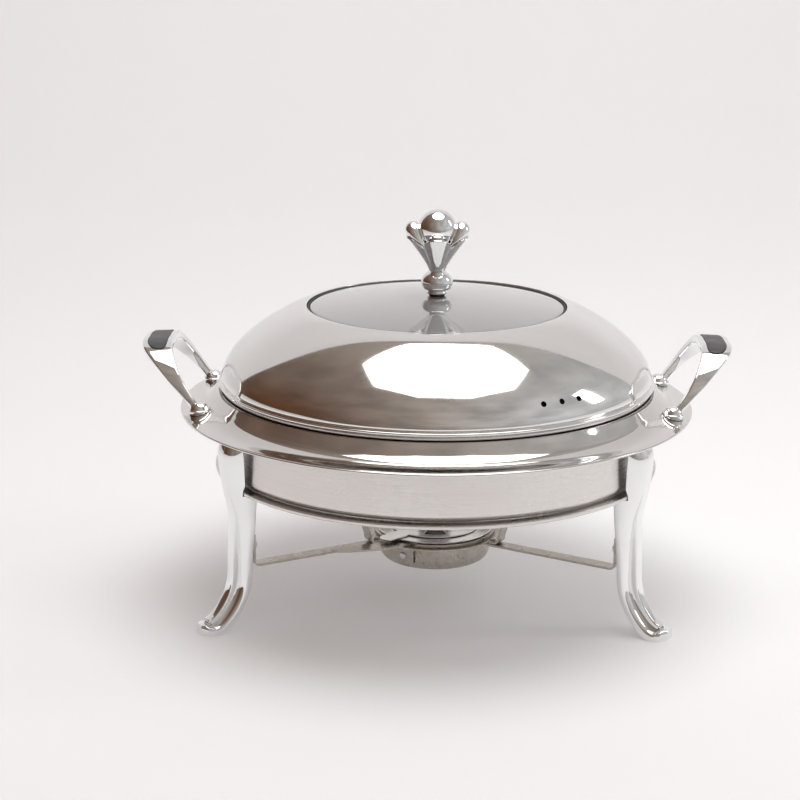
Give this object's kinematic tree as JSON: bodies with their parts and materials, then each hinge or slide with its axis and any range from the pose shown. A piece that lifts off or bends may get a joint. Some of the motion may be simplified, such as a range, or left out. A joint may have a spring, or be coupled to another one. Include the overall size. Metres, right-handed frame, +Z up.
{
  "type": "chafing dish",
  "caption": "Round buffet chafer with a domed lid and glass window, crown knob, food and water pans, arched side handles, three-legged stand and fuel burner.",
  "frame": {"origin": "on the table, under the middle of the pans", "axes": "+X points at the right-hand handle, -Y at the front, where the window slopes towards the viewer between the two front legs, and +Z is up"},
  "size_m": [0.4112, 0.3652, 0.2787],
  "materials": {
    "mirror_steel": "mirror-polished stainless steel",
    "brushed_steel": "brushed stainless steel",
    "cast_chrome": "bright chrome plate on a casting",
    "stained_steel": "satin stainless steel, slightly heat-tinted",
    "fastener_steel": "plain steel",
    "black_plastic": "satin black",
    "black_rubber": "matt black",
    "clear_glass": "clear tempered glass",
    "fuel_pad": "pale fibre wadding"
  },
  "bodies": {
    "stand": {"stand_ring": "brushed_steel", "burner_holder": "stained_steel", "leg_front_right": "cast_chrome", "burner_strap_front_right": "stained_steel", "strap_screw_front_right": "fastener_steel", "holder_rivet_front_right": "stained_steel", "leg_front_left": "cast_chrome", "burner_strap_front_left": "stained_steel", "strap_screw_front_left": "fastener_steel", "holder_rivet_front_left": "stained_steel", "leg_rear": "cast_chrome", "burner_strap_rear": "stained_steel", "strap_screw_rear": "fastener_steel", "holder_rivet_rear": "stained_steel"},
    "water_pan": {"water_pan": "brushed_steel", "handle_right": "cast_chrome", "handle_left": "cast_chrome", "handle_grip_right": "black_plastic", "handle_grip_left": "black_plastic", "handle_screw_right_front": "fastener_steel", "handle_screw_right_rear": "fastener_steel", "handle_screw_left_front": "fastener_steel", "handle_screw_left_rear": "fastener_steel"},
    "food_pan": {"food_pan": "brushed_steel"},
    "lid": {"lid_dome": "mirror_steel", "window_gasket": "black_rubber", "window_glass": "clear_glass", "knob_washer_upper": "black_rubber", "knob_washer_lower": "fastener_steel", "knob_screw": "fastener_steel", "knob_neck": "cast_chrome", "knob_crown": "cast_chrome"},
    "burner": {"burner_cup": "stained_steel", "burner_fuel_pad": "fuel_pad", "burner_handle": "stained_steel", "burner_handle_rivet": "fastener_steel", "burner_cover": "mirror_steel", "regulator_rivet": "fastener_steel"},
    "regulator": {"burner_regulator": "mirror_steel"}
  },
  "joints": [
    {"name": "water_pan_lift", "type": "slide", "parent": "stand", "child": "water_pan", "axis": [0, 0, 1], "range_m": [0, 0.12]},
    {"name": "food_pan_lift", "type": "slide", "parent": "water_pan", "child": "food_pan", "axis": [0, 0, 1], "range_m": [0, 0.1]},
    {"name": "lid_lift", "type": "slide", "parent": "food_pan", "child": "lid", "axis": [0, 0, 1], "range_m": [0, 0.15]},
    {"name": "burner_lift", "type": "slide", "parent": "stand", "child": "burner", "axis": [0, 0, 1], "range_m": [0, 0.03]},
    {"name": "regulator_turn", "type": "hinge", "parent": "burner", "child": "regulator", "pos_m": [0, 0, 0.0503], "axis": [0, 0, 1], "range_deg": [0, 45]}
  ]
}
